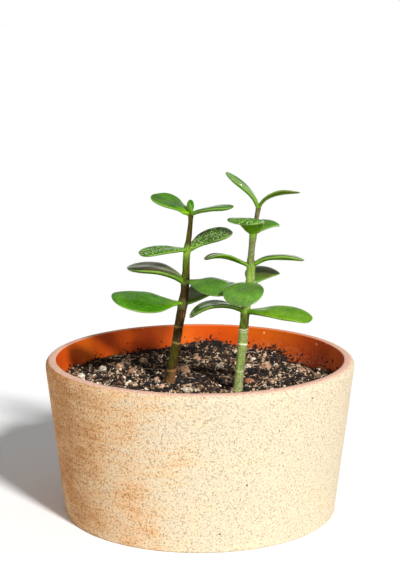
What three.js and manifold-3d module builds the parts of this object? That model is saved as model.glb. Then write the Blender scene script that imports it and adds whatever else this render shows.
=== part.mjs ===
// Potted jade plant: two young cuttings with fleshy leaves, rooted in gritty
// soil in a round clay bowl. Millimetres, +Z up, origin at the centre of the
// pot's underside. Azimuths run from +X towards +Y; +Y is the pot's back.

import * as THREE from 'three';
import { ParametricGeometry } from 'three/addons/geometries/ParametricGeometry.js';
import { mergeVertices } from 'three/addons/utils/BufferGeometryUtils.js';
import Module from 'manifold-3d';

const wasm = await Module();
wasm.setup();

// ---------------------------------------------------------------- driving dimensions

const SEAT_GAP = 0.3;      // air between a piece and what carries it
const MERGE_DISTANCE = 1e-4;

const POT = {
  height: 101,
  radius: 100,             // widest, where the rim's round begins
  baseRadius: 89,
  rimRound: 4,             // outer corner of the rim
  rimEase: 1,              // inner corner of the rim
  rimWidth: 6.8,
  footEase: 1.5,
  floor: 8,
  floorFillet: 7,
  drainRadius: 6.5,
};
const POT_SIDES = 56;
const ARC_STEPS = 3;        // sets how finely the profile's round corners are stepped

const SOIL = {
  level: 85,
  rings: 12,
  heap: { x: 7, y: 95, rise: 4.8, spread: 17 },       // banked against the back wall
  hollow: { x: 76, y: 60, rise: -6.5, spread: 20 },   // sunken at the right-hand back
  bank: { x: 54, y: 74, rise: 4, spread: 8 },         // piled up on the wall beside the hollow
  waves: [
    { height: 0.7, xLength: 9, yLength: 7.5, xShift: 1, yShift: 1.6 },
    { height: 0.45, xLength: 4.3, yLength: 5.1, xShift: 2, yShift: 1 },
  ],
};

const LEAF_RINGS = 12;
const LEAF_SIDES = 10;
const LEAF_STEPS = 24;      // straight steps along a leaf's centreline
const LEAF = {
  neckEnd: 0.05,            // the neck keeps its width up to here
  footEnd: 0.12,            // the foot has widened into the neck by here
  footWidth: 0.8,           // of the stem's radius
  rollEnd: 0.4,             // the blade has taken its whole roll by here
  footThickness: 0.85,      // of the blade's thickness
  topShare: 0.8,            // upper face is flatter than
  bottomShare: 1.2,         // the lower one
};

const STEM_SIDES = 12;
const STEM_STEP = 3.5;      // longest step between two rings
const NODE_LENGTH = 3;      // leaves that start within this height share a node

// Stem axis and thickness: height, x, y, radius. The first rows are underground.
const LEFT_STEM = [
  [68, -22.0, -13.2, 0],
  [69, -21.9, -13.2, 1.8],
  [78, -20.8, -13.0, 2.8],
  [86, -19.7, -13.0, 3.2],
  [95, -18.2, -12.8, 3.0],
  [113, -15.1, -12.6, 2.9],
  [124, -13.5, -12.8, 2.9],
  [133.5, -11.7, -13.0, 3.1],
  [139, -10.8, -13.0, 3.3],
  [146, -9.8, -13.1, 2.6],
  [153, -9.3, -13.2, 2.8],
  [160, -8.9, -13.2, 2.3],
  [169, -8.5, -13.1, 2.3],
  [173, -8.1, -13.0, 2.6],
  [179, -7.3, -12.9, 1.8],
  [188, -6.2, -12.9, 1.5],
  [193, -5.9, -13.0, 1.6],
  [195.8, -5.8, -13.0, 2.0],
  [197.2, -5.8, -13.0, 1.3],
  [197.8, -5.8, -13.0, 0],
];
const RIGHT_STEM = [
  [66, 22.8, -31.0, 0],
  [67, 22.9, -31.0, 1.8],
  [77, 23.3, -31.0, 2.7],
  [86, 23.8, -31.0, 3.1],
  [99, 24.9, -31.1, 2.8],
  [113, 26.4, -31.3, 2.9],
  [125, 27.3, -31.2, 3.0],
  [131, 27.8, -31.1, 2.8],
  [137, 28.3, -31.0, 3.1],
  [146, 29.6, -30.9, 2.8],
  [154, 30.9, -30.9, 3.0],
  [160, 31.4, -30.9, 2.6],
  [165.7, 31.5, -31.0, 2.8],
  [171, 31.5, -31.1, 2.1],
  [179, 32.2, -31.1, 2.1],
  [186, 33.0, -31.0, 2.5],
  [191, 33.9, -30.9, 1.6],
  [196, 34.9, -31.0, 1.45],
  [200, 35.7, -31.0, 1.6],
  [202, 36.0, -31.0, 1.7],
  [203, 36.0, -31.0, 1.0],
  [203.6, 36.0, -31.0, 0],
];

// One row per leaf: where its centreline starts on the stem, the way it points and
// how far it swings, its size, its climb in degrees at foot, middle and tip, its roll,
// how far it is cupped, where it is widest, how wide its neck is, its thickness, how
// late the blade opens (above 1 is later) and how blunt its tip is (2 is an ellipse).
const LEAF_COLUMNS = ['height', 'azimuth', 'swing', 'length', 'width',
  'climbFoot', 'climbMiddle', 'climbTip', 'roll', 'cup', 'widest', 'neck', 'thickness',
  'opening', 'blunt'];
const LEFT_LEAVES = {
  left_plant_leaf_1_left: [138.6, 204, 0, 48.6, 28.4, 10, 6, 14, 18, -0.03, 0.56, 0.2, 3.6, 1.2, 2.2],
  left_plant_leaf_1_right: [138.1, 35, 0, 38.5, 29, 20, 23, -14, 0, 0.1, 0.6, 0.3, 3.4, 1.2, 2.6],
  left_plant_leaf_2_left: [151.6, 172, 8, 40, 22.5, 51, 9, -3, 4, 0.1, 0.56, 0.32, 4.8, 1.2, 2.3],
  left_plant_leaf_2_right: [152.9, 320, 0, 37, 16.5, 6, -7, -2, -24, 0.05, 0.57, 0.2, 3.6, 1.3, 2.3],
  left_plant_leaf_3_left: [173.1, 214, 0, 35, 14.5, 9, 1, -18, 10, 0.05, 0.64, 0.42, 3.3, 1.2, 2.5],
  left_plant_leaf_3_right: [172.3, 27, -5, 33.5, 16, 40, 16, 10, -16, 0.15, 0.64, 0.4, 4, 1.2, 2.3],
  left_plant_leaf_4_left: [195.5, 145, 0, 28.6, 25, 32, 17, 44, 0, 0.1, 0.76, 0.45, 3.6, 3, 2.4],
  left_plant_leaf_4_right: [196, 330, 0, 31, 12.5, 20, 12, 0, -3, 0.05, 0.6, 0.22, 3.3, 1.2, 2.2],
  left_plant_bud_leaf_front: [196.8, 205, 0, 6.8, 5, 66, 80, 88, 0, 0.25, 0.5, 0.6, 1.8, 1.2, 2.2],
  left_plant_bud_leaf_back: [196.8, 130, 0, 8, 5.4, 80, 88, 96, 0, 0.25, 0.5, 0.6, 1.8, 1.2, 2.2],
};
const RIGHT_LEAVES = {
  right_plant_leaf_1_left: [136.9, 187, 4, 39, 17, 32, -1.5, -56, 0, 0.1, 0.52, 0.28, 3.6, 1.2, 2.2],
  right_plant_leaf_1_right: [136.9, 331, 0, 45.6, 20, 9, 0, -20, -10, 0.03, 0.6, 0.24, 4, 1.2, 2.3],
  right_plant_leaf_2_front: [154, 257.5, 0, 34.5, 25, 25, -16, -36, 1, 0, 0.61, 0.26, 3.4, 1.2, 2.2],
  right_plant_leaf_2_back: [154, 60, 0, 26, 21.8, 28, 16, -18, -4, -0.15, 0.7, 0.26, 3.2, 1.2, 3.6],
  right_plant_leaf_3_left: [165.6, 183, 16, 31.5, 15, 28, 16, -34, -6, 0.1, 0.64, 0.27, 2.9, 1.2, 2.2],
  right_plant_leaf_3_right: [165.7, 356, 0, 35, 13.5, 40, 5, -20, 4, 0.1, 0.56, 0.28, 3.4, 1.2, 2.3],
  right_plant_leaf_4_front: [184.8, 243, 14, 29, 22.5, 78, 22, -24, 3, 0, 0.66, 0.3, 3.4, 0.9, 2.4],
  right_plant_leaf_4_back: [185.8, 48, 0, 20.3, 20.5, 50, 13, -45, 0, -0.15, 0.62, 0.28, 3.4, 1.2, 2.5],
  right_plant_leaf_5_left: [202.1, 178, -6, 30.5, 10.5, 76, 42, 38, 5, 0.15, 0.6, 0.3, 3.3, 1.2, 2.2],
  right_plant_leaf_5_right: [201.7, 340, 0, 31, 9, 70, 18, -7, 8, 0.15, 0.56, 0.36, 2.5, 1.2, 2.2],
};

// Stones lying in the top of the soil: x, y, half sizes, and how far each is turned.
const STONE_COLUMNS = ['x', 'y', 'halfLength', 'halfWidth', 'halfHeight', 'turned'];
const CLAY_PEBBLES = [
  [44, 32, 4.2, 3.8, 3.4, 20],
  [68, 24, 2.9, 2.6, 2.3, 75],
  [-28, -2.5, 2.3, 2.2, 2.0, 10],
  [-45, 16, 3.1, 2.9, 2.6, 130],
  [-54, 32, 2.6, 2.4, 2.2, 50],
  [-39, 46, 3.2, 2.8, 2.6, 160],
  [46, -7.5, 2.4, 2.3, 2.1, 95],
  [-25, -24, 2.6, 2.2, 1.9, 35],
  [-11, 19, 4.3, 4.0, 3.6, 0],
  [-2.5, 52, 3.4, 3.0, 2.8, 110],
];
const PUMICE_STONES = [
  [13.5, 32.5, 2.7, 2.5, 2.4, 15],
  [32, 29.5, 2.8, 2.5, 2.4, 70],
  [51.5, 38, 2.3, 2.1, 2.0, 120],
  [36.5, 55, 2.4, 1.9, 1.8, 40],
  [-65, 24, 2.9, 2.5, 2.3, 85],
  [-78, 5.5, 3.0, 2.6, 2.2, 100],
  [-8, -30, 3.6, 2.4, 2.2, 5],
];
const TERRACOTTA_CHIPS = [[32, -7.5, 3.9, 2.7, 2.4, 150]];
const STONE = {
  detail: 1,
  showing: 0.3,             // of the half height, from soil level up to the centre
  lumps: [
    { depth: 0.1, across: 2.1, along: 1.7, up: 1.3 },
    { depth: 0.06, across: 4.2, along: 3.6, up: 4.9 },
  ],
};

const FINISH = {
  clay: { color: 0xdcb489, roughness: 0.85 },
  soil: { color: 0x2b221e, roughness: 0.95 },
  stem: { color: 0x6f8a3a, roughness: 0.55 },
  leaf: { color: 0x4a8f2c, roughness: 0.35 },
  bud: { color: 0x6ea637, roughness: 0.4 },
  pebble: { color: 0xa8785f, roughness: 0.9 },
  pumice: { color: 0xd9d2c4, roughness: 0.9 },
  chip: { color: 0xb5602f, roughness: 0.85 },
};

// ---------------------------------------------------------------- small helpers

const radians = THREE.MathUtils.degToRad;
const clamp01 = (x) => THREE.MathUtils.clamp(x, 0, 1);
const smooth = (x) => THREE.MathUtils.smoothstep(x, 0, 1);
const mix = THREE.MathUtils.lerp;

function named(columns, row) {
  return Object.fromEntries(columns.map((column, i) => [column, row[i]]));
}

// A closed geometry as a solid: shared vertices merged, collapsed triangles dropped,
// and the faces turned round if they point inwards.
function solidFrom(geometry) {
  geometry.deleteAttribute('normal');
  geometry.deleteAttribute('uv');
  const merged = mergeVertices(geometry, MERGE_DISTANCE);
  const corners = merged.index.array;
  const triangles = [];
  for (let i = 0; i < corners.length; i += 3) {
    const [a, b, c] = corners.slice(i, i + 3);
    if (a !== b && b !== c && c !== a) triangles.push(a, b, c);
  }
  const vertProperties = merged.attributes.position.array;
  const solidOf = (list) => new wasm.Manifold(
    new wasm.Mesh({ numProp: 3, vertProperties, triVerts: new Uint32Array(list) }));
  const solid = solidOf(triangles);
  return solid.volume() > 0 ? solid : solidOf(triangles.reverse());
}

function largestPiece(solid) {
  return solid.decompose().reduce((big, piece) => (piece.volume() > big.volume() ? piece : big));
}

function meshFrom(name, solid, finish) {
  const { vertProperties, triVerts } = solid.getMesh();
  const geometry = new THREE.BufferGeometry();
  geometry.setAttribute('position', new THREE.BufferAttribute(vertProperties, 3));
  geometry.setIndex(new THREE.BufferAttribute(triVerts, 1));
  geometry.computeVertexNormals();
  const mesh = new THREE.Mesh(geometry, new THREE.MeshStandardMaterial({ ...finish, metalness: 0 }));
  mesh.name = name;
  return mesh;
}

// ---------------------------------------------------------------- pot and soil

const WALL_SLOPE = (POT.radius - POT.baseRadius) / (POT.height - POT.rimRound - POT.footEase);

function innerRadius(height) {
  return POT.radius - POT.rimWidth - (POT.height - POT.rimEase - height) * WALL_SLOPE;
}

// The inside of the pot from under its rim to its floor, drawn in by a clearance.
function traceInside(path, top, clearance) {
  const floor = POT.floor + clearance;
  const corner = innerRadius(floor) - clearance;
  const wallEnd = floor + POT.floorFillet;
  path.lineTo(innerRadius(top) - clearance, top);
  path.lineTo(innerRadius(wallEnd) - clearance, wallEnd);
  path.quadraticCurveTo(corner, floor, corner - POT.floorFillet, floor);
  return path;
}

function makePot() {
  const { height, radius, baseRadius, rimRound, rimEase, rimWidth, footEase, drainRadius } = POT;
  const profile = new THREE.Path();
  profile.moveTo(drainRadius, 0);
  profile.lineTo(baseRadius - footEase, 0);
  profile.lineTo(baseRadius, footEase);
  profile.absarc(radius - rimRound, height - rimRound, rimRound, 0, Math.PI / 2, false);
  profile.absarc(radius - rimWidth + rimEase, height - rimEase, rimEase, Math.PI / 2, Math.PI, false);
  traceInside(profile, height - rimEase, 0);
  profile.lineTo(drainRadius, POT.floor);
  profile.lineTo(drainRadius, 0);
  const lathe = new THREE.LatheGeometry(profile.getPoints(ARC_STEPS), POT_SIDES);
  return solidFrom(lathe.rotateX(Math.PI / 2));
}

// Height of the soil's surface: a level with a heap, a hollow, a bank and two crossing waves.
function soilHeight(x, y) {
  let height = SOIL.level;
  for (const bump of [SOIL.heap, SOIL.hollow, SOIL.bank]) {
    const distance = Math.hypot(x - bump.x, y - bump.y) / bump.spread;
    height += bump.rise * Math.exp(-distance * distance / 2);
  }
  for (const wave of SOIL.waves) {
    const across = Math.sin(x / wave.xLength + wave.xShift);
    height += wave.height * across * Math.sin(y / wave.yLength + wave.yShift);
  }
  return height;
}

function makeSoil() {
  const edge = innerRadius(SOIL.level) - SEAT_GAP;
  const profile = new THREE.Path();
  profile.moveTo(edge, SOIL.level);
  traceInside(profile, SOIL.level, SEAT_GAP);
  profile.lineTo(0, POT.floor + SEAT_GAP);
  const underside = profile.getPoints(ARC_STEPS).reverse();
  const surface = [];
  for (let ring = 1; ring <= SOIL.rings; ring++) {
    surface.push(new THREE.Vector2(edge * (1 - ring / SOIL.rings), SOIL.level));
  }
  const lathe = new THREE.LatheGeometry([...underside, ...surface], POT_SIDES);
  lathe.rotateX(Math.PI / 2);
  const position = lathe.attributes.position;
  for (let i = 0; i < position.count; i++) {
    if (position.getZ(i) < SOIL.level - SEAT_GAP) continue;
    const x = position.getX(i);
    const y = position.getY(i);
    const height = soilHeight(x, y);
    const widen = (innerRadius(height) - SEAT_GAP) / edge;
    position.setXYZ(i, x * widen, y * widen, height);
  }
  return solidFrom(lathe);
}

// ---------------------------------------------------------------- stems

// Value of one column at a height: a cubic through the rows, with each row's slope
// taken from its two neighbours.
function alongStem(rows, height, column) {
  const last = rows.length - 1;
  const i = Math.max(rows.findLastIndex((row, k) => k < last && row[0] <= height), 0);
  const slope = (k) => {
    const before = rows[Math.max(k - 1, 0)];
    const after = rows[Math.min(k + 1, last)];
    return (after[column] - before[column]) / (after[0] - before[0]);
  };
  const span = rows[i + 1][0] - rows[i][0];
  const t = (height - rows[i][0]) / span;
  const a = rows[i][column];
  const b = rows[i + 1][column];
  const hermite = (2 * t - 3) * t * t;
  return a * (1 + hermite) - b * hermite
    + span * (slope(i) * t * (1 - t) ** 2 - slope(i + 1) * t * t * (1 - t));
}

function stemAxis(rows, height) {
  return new THREE.Vector3(alongStem(rows, height, 1), alongStem(rows, height, 2), height);
}

function stemRadius(rows, height) {
  const i = rows.findIndex((row) => row[0] >= height);
  if (i < 1) return rows[0][3];
  const t = (height - rows[i - 1][0]) / (rows[i][0] - rows[i - 1][0]);
  return mix(rows[i - 1][3], rows[i][3], t);
}

function ringHeights(rows) {
  const heights = [];
  rows.slice(1).forEach((row, i) => {
    const span = row[0] - rows[i][0];
    const steps = Math.ceil(span / STEM_STEP);
    for (let step = 0; step < steps; step++) heights.push(rows[i][0] + (span * step) / steps);
  });
  return [...heights, rows[rows.length - 1][0]];
}

// Rings level with the ground, swollen by a clearance where a hole is wanted.
function makeStem(rows, clearance = 0) {
  const heights = ringHeights(rows);
  const slices = heights.length - 1;
  const surface = (u, v, point) => {
    const height = heights[Math.round(u * slices)];
    const radius = stemRadius(rows, height);
    const reach = radius > 0 ? radius + clearance : 0;
    const turn = 2 * Math.PI * v;
    point.copy(stemAxis(rows, height));
    point.x += reach * Math.cos(turn);
    point.y += reach * Math.sin(turn);
    if (radius === 0) point.z += u < 0.5 ? -clearance : clearance;
  };
  return solidFrom(new ParametricGeometry(surface, slices, STEM_SIDES));
}

// ---------------------------------------------------------------- leaves

function leafDirection(leaf, t) {
  const climb = radians(leaf.climbFoot * (1 - t) * (1 - 2 * t)
    + leaf.climbMiddle * 4 * t * (1 - t) + leaf.climbTip * t * (2 * t - 1));
  const azimuth = radians(leaf.azimuth + leaf.swing * t);
  const level = Math.cos(climb);
  return new THREE.Vector3(level * Math.cos(azimuth), level * Math.sin(azimuth), Math.sin(climb));
}

function leafCentre(leaf, start, t) {
  const centre = start.clone();
  for (let step = 0; step < LEAF_STEPS; step++) {
    const along = leafDirection(leaf, ((step + 0.5) * t) / LEAF_STEPS);
    centre.addScaledVector(along, (leaf.length * t) / LEAF_STEPS);
  }
  return centre;
}

// Half width and half thickness at t, from foot (0) to tip (1), and how far the
// blade has spread there.
function leafSection(leaf, footRadius, t) {
  const opened = clamp01((t - LEAF.neckEnd) / (leaf.widest - LEAF.neckEnd));
  const spread = Math.sin((Math.PI / 2) * opened) ** leaf.opening;
  const past = clamp01((t - leaf.widest) / (1 - leaf.widest));
  const rounding = (1 - past ** leaf.blunt) ** (1 / leaf.blunt);
  const blade = (leaf.width / 2) * mix(leaf.neck, 1, spread) * rounding;
  const halfWidth = mix(Math.min(blade, footRadius * LEAF.footWidth), blade, smooth(t / LEAF.footEnd));
  const halfThickness = (leaf.thickness / 2) * mix(LEAF.footThickness, 1, spread) * rounding;
  return { halfWidth, halfThickness, spread, rounding };
}

function leafPoint(leaf, start, footRadius, t, turn, clearance) {
  const section = leafSection(leaf, footRadius, t);
  const azimuth = radians(leaf.azimuth + leaf.swing * t);
  const level = new THREE.Vector3(Math.sin(azimuth), -Math.cos(azimuth), 0);
  const along = leafDirection(leaf, t);
  const roll = radians(leaf.roll) * smooth(t / LEAF.rollEnd);
  const across = level.clone().multiplyScalar(Math.cos(roll))
    .addScaledVector(level.clone().cross(along), Math.sin(roll));
  const up = across.clone().cross(along);
  const extra = clearance * section.rounding;
  const share = Math.sin(turn) > 0 ? LEAF.topShare : LEAF.bottomShare;
  const cup = leaf.cup * section.halfWidth * section.spread * (Math.cos(turn) ** 2 - 0.5);
  return leafCentre(leaf, start, t)
    .addScaledVector(across, (section.halfWidth + extra) * Math.cos(turn))
    .addScaledVector(up, (section.halfThickness * share + extra) * Math.sin(turn) + cup);
}

// Rings from foot to tip, closer together towards the round tip.
function makeLeaf(leaf, stemRows, clearance = 0) {
  const start = stemAxis(stemRows, leaf.height);
  const footRadius = stemRadius(stemRows, leaf.height);
  const surface = (u, v, point) => {
    const ring = Math.round(u * LEAF_RINGS);
    if (ring === 0) {
      point.copy(start);
      return;
    }
    const t = Math.sin(((Math.PI / 2) * (ring - 1)) / (LEAF_RINGS - 1));
    point.copy(leafPoint(leaf, start, footRadius, t, 2 * Math.PI * v, clearance));
  };
  return solidFrom(new ParametricGeometry(surface, LEAF_RINGS, LEAF_SIDES));
}

// ---------------------------------------------------------------- stones

// An icosphere pressed to its half sizes, with its skin moved in and out by waves.
function makeStone(stone, clearance = 0) {
  const geometry = new THREE.IcosahedronGeometry(1, STONE.detail);
  const position = geometry.attributes.position;
  const size = [stone.halfLength, stone.halfWidth, stone.halfHeight];
  for (let i = 0; i < position.count; i++) {
    const unit = new THREE.Vector3().fromBufferAttribute(position, i);
    let swell = 1;
    for (const lump of STONE.lumps) {
      const phase = unit.x * lump.across + unit.y * lump.along + unit.z * lump.up + stone.x;
      swell += lump.depth * Math.sin(phase);
    }
    const [x, y, z] = unit.toArray().map((part, axis) => part * (size[axis] * swell + clearance));
    position.setXYZ(i, x, y, z);
  }
  geometry.rotateZ(radians(stone.turned));
  const height = soilHeight(stone.x, stone.y) + STONE.showing * stone.halfHeight;
  geometry.translate(stone.x, stone.y, height);
  return solidFrom(geometry);
}

// ---------------------------------------------------------------- assembly

// A stem with its leaves. Each leaf's foot is cut back from the stem and from the
// leaves before it at the same node, and keeps the seat gap to them.
function addPlant(plant, stemName, stemRows, leafRows) {
  plant.add(meshFrom(stemName, makeStem(stemRows), FINISH.stem));
  const stemHole = makeStem(stemRows, SEAT_GAP);
  const placed = [];
  for (const [name, row] of Object.entries(leafRows)) {
    const leaf = named(LEAF_COLUMNS, row);
    const atNode = placed.filter((other) => Math.abs(other.height - leaf.height) < NODE_LENGTH);
    const solid = atNode.reduce(
      (rest, other) => rest.subtract(makeLeaf(other, stemRows, SEAT_GAP)),
      makeLeaf(leaf, stemRows).subtract(stemHole));
    plant.add(meshFrom(name, largestPiece(solid), name.includes('bud') ? FINISH.bud : FINISH.leaf));
    placed.push(leaf);
  }
  return stemHole;
}

function addStones(plant, prefix, rows, finish) {
  return rows.map((row, i) => {
    const stone = named(STONE_COLUMNS, row);
    const name = rows.length > 1 ? `${prefix}_${i + 1}` : prefix;
    plant.add(meshFrom(name, makeStone(stone), finish));
    return makeStone(stone, SEAT_GAP);
  });
}

function assemble() {
  const plant = new THREE.Group();
  plant.add(meshFrom('pot', makePot(), FINISH.clay));
  const holes = [
    addPlant(plant, 'left_plant_stem', LEFT_STEM, LEFT_LEAVES),
    addPlant(plant, 'right_plant_stem', RIGHT_STEM, RIGHT_LEAVES),
    ...addStones(plant, 'clay_pebble', CLAY_PEBBLES, FINISH.pebble),
    ...addStones(plant, 'pumice_stone', PUMICE_STONES, FINISH.pumice),
    ...addStones(plant, 'terracotta_chip', TERRACOTTA_CHIPS, FINISH.chip),
  ];
  const soil = holes.reduce((body, hole) => body.subtract(hole), makeSoil());
  plant.add(meshFrom('soil', largestPiece(soil), FINISH.soil));
  return plant;
}

export default assemble();
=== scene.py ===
# %% [markdown]
# # A young jade plant in a clay bowl
#
# Two cuttings of a jade plant stand in gritty soil in a wide bowl of fired clay. The
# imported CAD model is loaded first: it fixes every place and size. Each of its solids is
# then replaced by a finer piece in the same place, and each piece is a formula on a grid
# of two parameters, worked out with numpy as whole arrays.

import math
from functools import partial
from types import SimpleNamespace

import bpy
import numpy as np
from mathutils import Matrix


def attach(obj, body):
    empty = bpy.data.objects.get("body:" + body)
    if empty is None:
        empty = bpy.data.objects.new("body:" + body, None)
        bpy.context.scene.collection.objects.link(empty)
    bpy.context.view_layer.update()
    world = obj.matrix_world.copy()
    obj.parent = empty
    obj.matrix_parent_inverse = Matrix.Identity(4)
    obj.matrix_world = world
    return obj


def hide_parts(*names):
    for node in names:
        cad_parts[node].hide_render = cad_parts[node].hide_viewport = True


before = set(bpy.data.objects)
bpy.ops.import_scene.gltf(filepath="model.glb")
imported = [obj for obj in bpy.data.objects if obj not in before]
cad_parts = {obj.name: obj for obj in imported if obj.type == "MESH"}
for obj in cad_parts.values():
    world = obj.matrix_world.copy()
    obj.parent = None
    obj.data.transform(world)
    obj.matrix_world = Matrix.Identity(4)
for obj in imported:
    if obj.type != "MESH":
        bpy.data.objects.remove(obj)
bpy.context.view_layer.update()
print("CAD nodes:", len(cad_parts))

# %% [markdown]
# ## The bench tools
#
# The pieces could be modelled by hand, or grown from primitives with modifiers. Here
# they are worked out, because a leaf, a stem and a bowl are all smooth surfaces that a
# short formula describes better than many edits would. The tables below are in
# millimetres, as on a drawing, and the mesh is made in metres, which Blender uses.

# %% From a grid of points to a mesh
MM = 0.001


def grid_faces(rows, columns, ring):
    """Faces on a grid whose columns close round. In a ring the last row also meets the
    first. Otherwise the first and last row are one point each, closed by triangles."""
    if ring:
        index = np.arange(rows * columns).reshape(rows, columns)
        index = np.vstack([index, index[:1]])
    else:
        index = np.arange((rows - 2) * columns).reshape(rows - 2, columns) + 1
        first, last = np.zeros_like(index[:1]), np.full_like(index[:1], index.max() + 1)
        index = np.vstack([first, index, last])
    beside = np.roll(index, -1, axis=1)
    quads = np.stack([index[:-1], beside[:-1], beside[1:], index[1:]], axis=-1)
    if ring:
        return quads.reshape(-1, 4), np.zeros((0, 3), int)
    triangles = np.vstack([quads[0][:, [0, 2, 3]], quads[-1][:, [0, 1, 2]]])
    return quads[1:-1].reshape(-1, 4), triangles


def one_list(values, ring):
    """A grid's values in the order of grid_faces: each pole row counts once."""
    if ring:
        return values.reshape(-1, *values.shape[2:])
    middle = values[1:-1].reshape(-1, *values.shape[2:])
    return np.concatenate([values[0, :1], middle, values[-1, :1]])


def enclosed(points, quads, triangles):
    """Volume inside the faces: the sum of a . (b x c) / 6 over their triangles. It is
    negative if they point inwards."""
    corners = np.vstack([quads[:, [0, 1, 2]], quads[:, [0, 2, 3]], triangles])
    a, b, c = (points[corners[:, k]] for k in range(3))
    return np.einsum("ij,ij->", a, np.cross(b, c)) / 6


# %% From a mesh to a piece of the plant
def add_object(name, data):
    """An object at the origin that shows its mesh, lamp or camera data."""
    thing = bpy.data.objects.new(name, data)
    bpy.context.scene.collection.objects.link(thing)
    return thing


def add_piece(name, points, quads, triangles, material, attributes, faceted=False):
    """A closed mesh object at the origin, from points in millimetres. attributes holds
    one number per point under each name, for the material to read."""
    if enclosed(points, quads, triangles) < 0:
        quads, triangles = quads[:, ::-1], triangles[:, ::-1]
    mesh = bpy.data.meshes.new(name)
    mesh.from_pydata((points * MM).tolist(), [], quads.tolist() + triangles.tolist())
    for key, values in attributes.items():
        layer = mesh.attributes.new(key, "FLOAT", "POINT")
        layer.data.foreach_set("value", values.astype(np.float32))
    mesh.shade_flat() if faceted else mesh.shade_smooth()
    mesh.materials.append(material)
    piece = add_object(name, mesh)
    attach(piece, "root")
    return piece


def add_grid_piece(name, grid, material, attributes, ring=False):
    """add_piece on a grid of points, rows x columns x 3. Each attribute is spread over a
    grid of that shape."""
    rows, columns = grid.shape[:2]
    listed = {key: one_list(np.broadcast_to(values, (rows, columns)), ring)
              for key, values in attributes.items()}
    faces = grid_faces(rows, columns, ring)
    return add_piece(name, one_list(grid, ring), *faces, material, listed)


# %% Waves that stand in for chance
def ripple(points, length, depth, seed, waves=24):
    """Irregular swell at each point, in millimetres: the sum of sines along random
    directions, with wave lengths around length, scaled so that its usual size is depth."""
    rng = np.random.default_rng(seed)
    direction = rng.normal(size=(waves, 3))
    direction /= np.linalg.norm(direction, axis=1, keepdims=True)
    per_mm = 2 * np.pi / (length * rng.uniform(0.6, 1.6, waves))
    phase = rng.uniform(0, 2 * np.pi, waves)
    angle = points @ (direction * per_mm[:, None]).T + phase
    return depth * math.sqrt(2 / waves) * np.sin(angle).sum(axis=-1)


def full_turn(count):
    """count angles, evenly round a circle."""
    return np.linspace(0, 2 * np.pi, count, endpoint=False)


def level_way(angle):
    """The level unit vector at each angle: (cos, sin, 0)."""
    return np.stack([np.cos(angle), np.sin(angle), 0 * angle], axis=-1)


def smooth(x):
    """0 below 0, 1 above 1, and 3x^2 - 2x^3 between."""
    x = np.clip(x, 0, 1)
    return x * x * (3 - 2 * x)


# %% [markdown]
# ## How a finish is made
#
# Every material is a small network of shader nodes. One helper adds a node, sets its
# options and links what feeds it. Colours are written as the sRGB hex values that a
# colour picker shows, and one function turns them into the linear light that Blender
# works in. Patterns read Object coordinates, in metres, so a grain of 1 mm has a scale
# of about 1000. A Map Range node is written as value, from low, from high, to low, to
# high, in the order of its sockets.

# %% Node and colour helpers
def linear(hex_colour):
    """sRGB hex to linear RGBA: c / 12.92 below 0.04045, else ((c + 0.055) / 1.055)^2.4."""
    s = np.array([int(hex_colour[k:k + 2], 16) for k in (1, 3, 5)]) / 255
    rgb = np.where(s <= 0.04045, s / 12.92, ((s + 0.055) / 1.055) ** 2.4)
    return (*rgb.tolist(), 1.0)


def feed(node, inputs):
    """Gives each input its number or hex colour, or links the socket that feeds it.
    inputs is a dict, or a list in the order of the node's sockets."""
    for key, value in inputs.items() if isinstance(inputs, dict) else enumerate(inputs):
        if isinstance(value, bpy.types.NodeSocket):
            node.id_data.links.new(value, node.inputs[key])
        else:
            node.inputs[key].default_value = linear(value) if isinstance(value, str) else value


def add_node(tree, kind, inputs=(), out=0, stops=(), **options):
    """One shader node with its options and inputs, and for a ramp the places and colours
    of its stops. Returns the output out, or all outputs if out is None."""
    node = tree.nodes.new("ShaderNode" + kind)
    for key, value in options.items():
        setattr(node, key, value)
    feed(node, inputs)
    for k, (place, colour) in enumerate(stops):
        ramp = node.color_ramp.elements
        element = ramp[k] if k < len(ramp) else ramp.new(1.0)
        element.position, element.color = place, linear(colour)
    return node.outputs if out is None else node.outputs[out]


def finish(shader, **sockets):
    """feed for a shader, with Base_Color for its socket Base Color."""
    feed(shader, {key.replace("_", " "): value for key, value in sockets.items()})


def new_material(name, **sockets):
    """A material whose Principled shader has these plain values, with add_node for its
    tree and finish for its shader."""
    material = bpy.data.materials.new(name)
    material.use_nodes = True
    shader = material.node_tree.nodes["Principled BSDF"]
    finish(shader, **sockets)
    return material, partial(add_node, material.node_tree), partial(finish, shader)


def per_metre(size_mm):
    """Scale of a noise or Voronoi node whose spots are size_mm apart."""
    return 1 / (size_mm * MM)


COLOUR_MIX = {"data_type": "RGBA", "out": 2}    # a Mix node: 0 share, 6 and 7 colours
TIMES = {"operation": "MULTIPLY"}
PLUS = {"operation": "ADD", "use_clamp": True}  # kept between 0 and 1


# %% [markdown]
# ## Camera, light and floor
#
# The camera stands where the photographer stood: 0.9 m away and a little above the
# rim, with a long lens. The studio is a white floor and white walls, which give the
# leaves their pale sheen at a glancing angle, under a darker ceiling, which leaves
# their tops deep green. A lamp could be an area light beside the plant, but a sun with
# some width gives the same soft-edged shadows at any distance. It stands at the front
# right, so the leaves' shadows fall to the back left, on the bowl's inner wall.

# %% The camera
DISTANCE = 0.928        # metres, from the middle of the rim
ELEVATION = 13.7        # of the camera above the rim, in degrees
PITCH = 10.8            # of the lens below the horizon
RIM_HEIGHT = 0.1
LENS, SENSOR = 90, 36   # millimetres

camera_data = bpy.data.cameras.new("camera")
camera_data.lens = LENS
camera_data.sensor_width = SENSOR
camera = add_object("camera", camera_data)
rise = math.radians(ELEVATION)
camera.location = (0, -DISTANCE * math.cos(rise), RIM_HEIGHT + DISTANCE * math.sin(rise))
camera.rotation_euler = (math.radians(90 - PITCH), 0, 0)
bpy.context.scene.camera = camera
print("camera at", [round(v, 4) for v in camera.location])

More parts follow.
